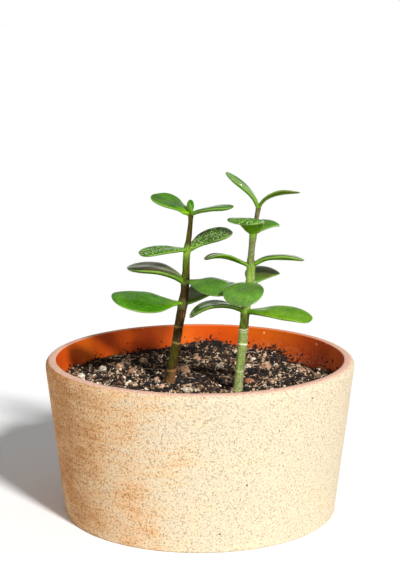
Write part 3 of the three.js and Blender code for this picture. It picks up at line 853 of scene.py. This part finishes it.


# %% [markdown]
# ### Skin of the stem
#
# Young stem is green and glossy. Older stem turns olive and brown from the foot up. Its
# right-hand side is darker still, as painted shade drawn as more age, and so is the left
# stem round its first two pairs of leaves. Some stretches carry bloom, a pale waxy dust,
# and the scars are pale and corky. Age, bloom and scar are written on the mesh as numbers
# from 0 to 1, because they follow the stem and not the space around it.

# %% The stem's finish
bark, add, link = new_material("jade_stem_skin", IOR=1.4, Specular_IOR_Level=0.18,
                               Subsurface_Weight=0.08, Subsurface_Scale=0.001)
place = add("TexCoord", out="Object")
age, bloom, scar = (add("Attribute", out="Fac", attribute_name=key)
                    for key in ("age", "bloom", "scar"))
upright = add("Mapping", {"Vector": place, "Scale": (1, 1, 0.16)})
streak = add("TexNoise", {"Vector": upright, "Scale": per_metre(0.9), "Detail": 3.0})
fleck = add("TexNoise", {"Vector": place, "Scale": per_metre(0.8), "Detail": 4.0,
                         "Roughness": 0.7})
uneven = add("MapRange", [streak, 0.3, 0.7, -0.2, 0.2])
weathered = add("Math", [age, uneven], **PLUS)
colour = add("ValToRGB", [weathered], stops=[
    (0.0, "#7FA618"), (0.3, "#4E6C0A"), (0.5, "#444406"), (0.65, "#44380C"),
    (0.8, "#2C1E0A"), (1.0, "#6A4422")])
film = add("MapRange", [fleck, 0.4, 0.62, 0.2, 1.7])
film = add("Math", [bloom, film], **TIMES, use_clamp=True)
cork = add("ValToRGB", [age], stops=[
    (0.3, "#DCE3C0"), (0.6, "#A8864A"), (1.0, "#8A6434")])
for share, tone in ((film, "#C6C694"), (scar, cork)):
    colour = add("Mix", {0: share, 6: colour, 7: tone}, **COLOUR_MIX)
roughness = add("MapRange", [age, 0, 1, 0.4, 0.85])
bump = add("Bump", {"Height": fleck, "Strength": 0.35, "Distance": 0.25 * MM})
link(Base_Color=colour, Roughness=roughness, Normal=bump)

# %% The stem's surface
STEM_STEP = 0.35
STEM_COLUMNS = 40
RIDGE = 0.3             # height of the ridge at a scar
CRUST_EASE = 6          # rough bark fades in over this much under crust_top
FULL_RELIEF = 1.5       # radius from which the skin has its full relief


def stem_grid(table, scars, crust_top, seed):
    """A level circle of the table's radius round the axis at each height, plus a ridge
    exp(-((z - scar) / half width)^2) at each scar and rough bark below crust_top. Returns
    the points, and how much of a scar each one is."""
    count = int((table[-1, 0] - table[0, 0]) / STEM_STEP)
    height = np.linspace(table[0, 0], table[-1, 0], count)
    turn = full_turn(STEM_COLUMNS)
    axis = stem_axis(table, height)[:, None]
    outward = level_way(turn)
    radius = stem_radius(table, height)[:, None]
    around = axis + radius[..., None] * outward
    wander = around[..., 2] + ripple(around, 5, 0.25, seed)
    marks = sum(size * np.exp(-((wander - at) / width) ** 2) for at, size, width in scars)
    crust = smooth((crust_top - around[..., 2]) / CRUST_EASE)
    rough = ripple(around, 1.6, 0.26, seed + 1) * crust
    relief = RIDGE * marks + ripple(around, 6, 0.05, seed + 2) + rough
    relief = relief * np.clip(radius / FULL_RELIEF, 0, 1)
    return axis + (radius + relief)[..., None] * outward, np.clip(marks, 0, 1)


# %% Build both stems
# A scar is its height, strength and half width, a look is height, age and bloom.
STEMS = {
    "left_plant_stem": {
        "table": LEFT_STEM, "crust_top": 96,
        "scars": [(123.6, 0.7, 0.5), (113, 0.8, 0.6), (94.7, 1, 0.7)],
        "look": [(86, 1.1, 0.06), (95, 0.95, 0.03), (97, 0.62, 0), (112, 0.6, 0), (114, 0.72, 0),
                 # From 134 to 150 mm the age is partly painted shade: raised where the leaves shade
                 # the stem.
                 (134, 0.82, 0), (137, 0.5, 0.08), (140, 0.5, 0.08), (143, 0.82, 0),
                 (150, 0.75, 0), (152, 0.42, 0.12), (154, 0.5, 0), (165, 0.4, 0),
                 (171, 0.12, 0.08), (174, 0.2, 0.08), (178, 0.58, 0), (190, 0.66, 0),
                 (198, 0.4, 0)]},
    "right_plant_stem": {
        "table": RIGHT_STEM, "crust_top": 84,
        "scars": [(125.6, 1, 0.35), (124.2, 0.7, 0.3), (116.4, 1, 0.55), (98.9, 0.7, 0.4)],
        "look": [(80, 0.3, 0.6), (95, 0.3, 0.42), (99, 0.22, 0.28), (116, 0.22, 0.3),
                 (123, 0.28, 0.3), (127, 0.45, 0.02), (135, 0.4, 0.02), (137, 0.12, 0.15),
                 (150, 0.18, 0.25), (158, 0.15, 0.25), (165, 0.1, 0.12), (168, 0.4, 0.2),
                 (181, 0.48, 0.2), (186, 0.14, 0.1), (189, 0.6, 0.2), (200, 0.64, 0.2),
                 (203, 0.3, 0.05)]},
}
# Painted shade: both stems are darker on their right-hand side, drawn as more age there.
right_side_painted_shade = 0.14 * np.cos(full_turn(STEM_COLUMNS))    # more age on the right than the left
for number, (node, stem) in enumerate(STEMS.items()):
    points, marks = stem_grid(stem["table"], stem["scars"], stem["crust_top"], 40 + 10 * number)
    at, age, bloom = np.array(stem["look"]).T
    looks = {"age": np.interp(points[..., 2], at, age) + right_side_painted_shade,
             "bloom": np.interp(points[..., 2], at, bloom), "scar": marks}
    piece = add_grid_piece(node + "_skin", points, bark, looks)
    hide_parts(node)
    print(node, points.shape[:2])

# %% [markdown]
# ## The leaves
#
# A jade leaf is a fleshy spoon: a narrow neck, a blade that opens and ends round, a
# flat top and a fuller underside, with blunt edges. The blade could be sculpted once
# and copied, but no two leaves here have the same outline or bend. So one formula makes
# them all, and a table holds what differs. A section is carried along a centreline that
# bends as the leaf does, and the leaf's foot starts inside the stem it grew from.

# %% The leaf's path
FINE_LENGTH = 0.997     # of the table's length: the faceted CAD leaf ends a hair sooner
WALK = 400              # steps along the centreline


def leaf_direction(leaf, t):
    """Unit vectors along the centreline. The climb runs through its three angles as a
    parabola, and the azimuth swings evenly."""
    climb = np.radians(leaf.climb_foot * (1 - t) * (1 - 2 * t)
                       + leaf.climb_middle * 4 * t * (1 - t) + leaf.climb_tip * t * (2 * t - 1))
    azimuth = np.radians(leaf.azimuth + leaf.swing * t)
    level = np.cos(climb)
    return np.stack([level * np.cos(azimuth), level * np.sin(azimuth), np.sin(climb)], axis=-1)


def leaf_centre(leaf, start, t):
    """start plus the direction summed along the leaf, step by step."""
    middles = (np.arange(WALK) + 0.5) / WALK
    walk = np.vstack([np.zeros(3), np.cumsum(leaf_direction(leaf, middles), axis=0)])
    walk *= leaf.length * FINE_LENGTH / WALK
    ticks = np.linspace(0, 1, WALK + 1)
    return start + np.stack([np.interp(t, ticks, walk[:, k]) for k in range(3)], axis=-1)


# %% The leaf's section
OPENS_AT, FOOT_END = 0.05, 0.12         # of the length: the blade opens, the foot ends
FOOT_SHARE = 0.8        # of the stem's radius that the foot spans to each side
NECK_THICKNESS = 0.85   # of the blade's


def leaf_section(leaf, foot_radius, t):
    """Half width, half thickness and spread at t. The spread is a power of the sine up to
    the widest place, and past it the blade closes as a blunt ellipse."""
    opened = np.clip((t - OPENS_AT) / (leaf.widest - OPENS_AT), 0, 1)
    spread = np.sin(np.pi / 2 * opened) ** leaf.opening
    past = np.clip((t - leaf.widest) / (1 - leaf.widest), 0, 1)
    rounding = (1 - past ** leaf.blunt) ** (1 / leaf.blunt)
    blade = leaf.width / 2 * (leaf.neck + (1 - leaf.neck) * spread) * rounding
    foot = np.minimum(blade, FOOT_SHARE * foot_radius)
    half_width = foot + (blade - foot) * smooth(t / FOOT_END)
    thickness = NECK_THICKNESS + (1 - NECK_THICKNESS) * spread
    return half_width, leaf.thickness / 2 * thickness * rounding, spread


# %% The leaf's surface
LEAF_ROWS, LEAF_COLUMNS = 80, 56
BLUNT_EDGE = 2.3        # exponent of the section: 2 is an ellipse, more is blunter
TOP_SHARE, UNDER_SHARE = 0.8, 1.2       # of the half thickness
TROUGH, TROUGH_WIDTH = 0.35, 0.3        # along the top, in mm and in half widths
ROLL_END, SWAY_START = 0.4, 0.3         # of the length: full roll, full sway


def blunted(wave):
    """A sine or cosine with its size raised to 2 / BLUNT_EDGE."""
    return np.sign(wave) * np.abs(wave) ** (2 / BLUNT_EDGE)


def leaf_grid(leaf, stem, seed):
    """Points of the leaf's skin: centre + across * half width * cos(turn) + up *
    (half thickness * share * sin(turn) + cup), with blunted sine and cosine. Returns
    them with t along the leaf and the sine and cosine of the turn."""
    t = np.sin(np.pi / 2 * np.linspace(0, 1, LEAF_ROWS - 1))[:, None]
    turn = full_turn(LEAF_COLUMNS)[None]
    start = stem_axis(stem, leaf.height)
    foot_radius = stem_radius(stem, leaf.height)
    half_width, half_thickness, spread = leaf_section(leaf, foot_radius, t)
    azimuth = np.radians(leaf.azimuth + leaf.swing * t[:, 0])
    level = level_way(azimuth - np.pi / 2)
    along = leaf_direction(leaf, t[:, 0])
    roll = np.radians(leaf.roll) * smooth(t / ROLL_END)
    across = level * np.cos(roll) + np.cross(level, along) * np.sin(roll)
    up = np.cross(across, along)
    wide, high = blunted(np.cos(turn)), blunted(np.sin(turn))
    on_top = np.sin(turn) > 0
    share = np.where(on_top, TOP_SHARE, UNDER_SHARE)
    trough = TROUGH * np.exp(-(wide / TROUGH_WIDTH) ** 2) * on_top * spread * (1 - t) * high ** 2
    cup = leaf.cup * half_width * spread * (wide ** 2 - 0.5)
    lift = half_thickness * share * high - trough + cup
    centre = leaf_centre(leaf, start, t[:, 0])
    points = centre[:, None] + across[:, None] * (half_width * wide)[..., None]
    points = points + up[:, None] * lift[..., None]
    sway = ripple(points, 18, 0.16, seed) * smooth(t / SWAY_START)
    points = points + up[:, None] * sway[..., None]
    looks = (np.broadcast_to(values, sway.shape) for values in (t, high, np.abs(wide)))
    points = np.vstack([np.broadcast_to(start, (1, LEAF_COLUMNS, 3)), points])
    return points, *(np.vstack([values[:1], values]) for values in looks)


# %% [markdown]
# ### A waxy skin
#
# The skin is smooth and thick, with a film of wax: mid green and glossy on top, paler
# and yellower at the neck and below, where the paleness is partly the leaf's own colour
# and partly painted light from the floor. A thin pale line on the edge is a painted
# highlight. Some leaves are brown on top, partly blush and partly painted shade, and
# dried at the tip. On some, a pale grey film is partly wax bloom and partly painted
# sheen, and some are dotted with white salt at their pores. Each leaf carries those
# amounts as numbers, so one material serves them all: a clear coat stands for the wax,
# and some light scatters under the skin.

# %% Greens of the leaf
skin, add, link = new_material(
    "waxy_leaf_skin", IOR=1.4, Specular_IOR_Level=0.2, Coat_Weight=0.85, Coat_Roughness=0.08,
    Coat_IOR=1.36, Coat_Tint="#EAF6B8", Subsurface_Weight=0.1,
    Subsurface_Scale=0.0015, Subsurface_Radius=(0.6, 1.0, 0.2))
place = add("TexCoord", out="Object")
along, upside, margin, fresh, blush, dots, film = (
    add("Attribute", out="Fac", attribute_name=key)
    for key in ("along", "upside", "margin", "fresh", "blush", "dots", "film"))
cloud, cells = (add("TexNoise", {"Vector": place, "Scale": per_metre(size), "Detail": 3.0})
                for size in (9, 1.3))

green = add("ValToRGB", [cloud], stops=[
    (0.3, "#2A5A06"), (0.5, "#3A780A"), (0.7, "#4E8E0E")])
young = add("ValToRGB", [cloud], stops=[(0.3, "#629406"), (0.7, "#86B20A")])
# Paler, yellower underside: partly the leaf's own colour, partly painted light from below.
under = add("MapRange", [upside, 0.2, -0.5, 0, 0.55])
neck = add("MapRange", [along, 0.38, 0.05, 0, 0.8])
youth = add("Math", [under, neck], operation="MAXIMUM")
youth = add("Math", [youth, fresh], **PLUS)
colour = add("Mix", {0: youth, 6: green, 7: young}, **COLOUR_MIX)
mottle = add("ValToRGB", [cells], stops=[(0.38, "#8C9A84"), (0.62, "#FFFFFF")])
colour = add("Mix", {0: 0.4, 6: colour, 7: mottle}, **COLOUR_MIX, blend_type="MULTIPLY")

# %% Blush and painted shade, dried tip, painted highlight on the edge, wax and painted sheen, salt
on_top = add("MapRange", [upside, 0.1, 0.7])
grown = add("MapRange", [along, 0.05, 0.35, 0.3])
tinted = add("MapRange", [on_top, 0, 1, 0.2])
in_patches = add("MapRange", [cloud, 0.25, 0.5])
outer = add("MapRange", [margin, 0.4, 1, 0.65])
tip = add("MapRange", [along, 0.92, 0.99])
dried = add("Math", [blush, 0.2], **PLUS)
# Painted highlight: a thin pale line along every margin stands in for glints on the edge.
edge = add("MapRange", [margin, 0.97, 1, 0, 0.35])
# Pale grey film: partly wax bloom, partly painted sheen where the tops catch the walls.
wax_and_painted_sheen = add("MapRange", [cells, 0.3, 0.7, 0.8, 1.2])
# The pores are really about 0.3 mm apart: drawn coarser, so that their salt shows.
pores = add("TexVoronoi", {"Vector": place, "Scale": per_metre(1.0)}, out=None)
crusted = add("SeparateColor", [pores["Color"]])
crusted = add("MapRange", [crusted, 0.1, 0.35])
salt = add("MapRange", [pores["Distance"], 0.42, 0.3])

# The brown on top is partly blush and partly painted shade, on leaves that others shade.
LAYERS = (("#452A14", (in_patches, tinted, outer, grown, blush)), ("#3A2416", (tip, dried)),
          ("#C4D888", (edge, grown)), ("#BCC4AC", (wax_and_painted_sheen, film)),
          ("#E6EED8", (salt, crusted, on_top, dots)))       # the colour, and where it lies
for tone, (share, *parts) in LAYERS:
    for part in parts:
        share = add("Math", [share, part], **TIMES)
    colour = add("Mix", {0: share, 6: colour, 7: tone}, **COLOUR_MIX)

roughness = add("MapRange", [cells, 0, 1, 0.25, 0.42])
bump = add("Bump", {"Height": cells, "Strength": 0.15, "Distance": 0.2 * MM})
link(Base_Color=colour, Roughness=roughness, Normal=bump)
print("nodes of the leaf's skin:", len(skin.node_tree.nodes))

# %% Every leaf
# Places and sizes are in millimetres, angles in degrees: 0 is the right, 90 the back.
# The skin's amounts are the last four, and most run from 0 to 1.
LEAF_KEYS = ("height", "azimuth", "swing", "length", "width", "climb_foot", "climb_middle",
             "climb_tip", "roll", "cup",
             "widest", "neck", "thickness", "opening", "blunt", "fresh", "blush", "dots", "film")
LEAVES = {
    "left_plant_leaf_1_left": (138.6, 204, 0, 48.6, 28.4, 10, 6, 14, 18, -0.03,
        0.56, 0.2, 3.6, 1.2, 2.2, 0.1, 0, 0.1, 0),
    "left_plant_leaf_1_right": (138.1, 35, 0, 38.5, 29, 20, 23, -14, 0, 0.1,
        0.6, 0.3, 3.4, 1.2, 2.6, 0.1, 1.0, 0, 0),
    "left_plant_leaf_2_left": (151.6, 172, 8, 40, 22.5, 51, 9, -3, 4, 0.1,
        0.56, 0.32, 4.8, 1.2, 2.3, 0, 1.4, 0.1, 0.02),
    "left_plant_leaf_2_right": (152.9, 320, 0, 37, 16.5, 6, -7, -2, -24, 0.05,
        0.57, 0.2, 3.6, 1.3, 2.3, 0, 0.1, 0, 0.12),
    "left_plant_leaf_3_left": (173.1, 214, 0, 35, 14.5, 9, 1, -18, 10, 0.05,
        0.64, 0.42, 3.3, 1.2, 2.5, 0, 0.1, 0.9, 0),
    "left_plant_leaf_3_right": (172.3, 27, -5, 33.5, 16, 40, 16, 10, -16, 0.15,
        0.64, 0.4, 4, 1.2, 2.3, 0, 0.5, 0.85, 0),
    "left_plant_leaf_4_left": (195.5, 145, 0, 28.6, 25, 32, 17, 44, 0, 0.1,
        0.76, 0.45, 3.6, 3, 2.4, 0.18, 0, 0, 0),
    "left_plant_leaf_4_right": (196, 330, 0, 31, 12.5, 20, 12, 0, -3, 0.05,
        0.6, 0.22, 3.3, 1.2, 2.2, 0, 0.1, 0, 0.04),
    "left_plant_bud_leaf_front": (196.8, 205, 0, 6.8, 5, 66, 80, 88, 0, 0.25,
        0.5, 0.6, 1.8, 1.2, 2.2, 0, 0.25, 0, 0),
    "left_plant_bud_leaf_back": (196.8, 130, 0, 8, 5.4, 80, 88, 96, 0, 0.25,
        0.5, 0.6, 1.8, 1.2, 2.2, 0, 0.25, 0, 0),
    "right_plant_leaf_1_left": (136.9, 187, 4, 39, 17, 32, -1.5, -56, 0, 0.1,
        0.52, 0.28, 3.6, 1.2, 2.2, 0, 0.6, 0.1, 0),
    "right_plant_leaf_1_right": (136.9, 331, 0, 45.6, 20, 9, 0, -20, -10, 0.03,
        0.6, 0.24, 4, 1.2, 2.3, 0.85, 0, 0.1, 0),
    "right_plant_leaf_2_front": (154, 257.5, 0, 34.5, 25, 25, -16, -36, 1, 0,
        0.61, 0.26, 3.4, 1.2, 2.2, 0.15, 0, 0.1, 0.12),
    "right_plant_leaf_2_back": (154, 60, 0, 26, 21.8, 28, 16, -18, -4, -0.15,
        0.7, 0.26, 3.2, 1.2, 3.6, 0, 1, 0, 0.08),
    "right_plant_leaf_3_left": (165.6, 183, 16, 31.5, 15, 28, 16, -34, -6, 0.1,
        0.64, 0.27, 2.9, 1.2, 2.2, 0, 1.1, 0, 0.02),
    "right_plant_leaf_3_right": (165.7, 356, 0, 35, 13.5, 40, 5, -20, 4, 0.1,
        0.56, 0.28, 3.4, 1.2, 2.3, 0, 0.5, 0.2, 0.04),
    "right_plant_leaf_4_front": (184.8, 243, 14, 29, 22.5, 78, 22, -24, 3, 0,
        0.66, 0.3, 3.4, 0.9, 2.4, 0, 0.1, 0.8, 0.03),
    "right_plant_leaf_4_back": (185.8, 48, 0, 20.3, 20.5, 50, 13, -45, 0, -0.15,
        0.62, 0.28, 3.4, 1.2, 2.5, 0, 0.2, 0.1, 0.06),
    "right_plant_leaf_5_left": (202.1, 178, -6, 30.5, 10.5, 76, 42, 38, 5, 0.15,
        0.6, 0.3, 3.3, 1.2, 2.2, 0.15, 0, 0, 0.12),
    "right_plant_leaf_5_right": (201.7, 340, 0, 31, 9, 70, 18, -7, 8, 0.15,
        0.56, 0.36, 2.5, 1.2, 2.2, 0, 3, 0, 0.02),
}
TABLE_OF = {"left": LEFT_STEM, "right": RIGHT_STEM}
for number, (node, row) in enumerate(LEAVES.items()):
    leaf = SimpleNamespace(**dict(zip(LEAF_KEYS, row)))
    stem = TABLE_OF[node.split("_")[0]]
    points, t, upside_here, margin_here = leaf_grid(leaf, stem, 60 + number)
    marks = {"along": t, "upside": upside_here, "margin": margin_here,
             **{key: getattr(leaf, key) for key in ("fresh", "blush", "dots", "film")}}
    piece = add_grid_piece(node + "_flesh", points, skin, marks)
    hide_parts(node)
print("leaves:", len(LEAVES))
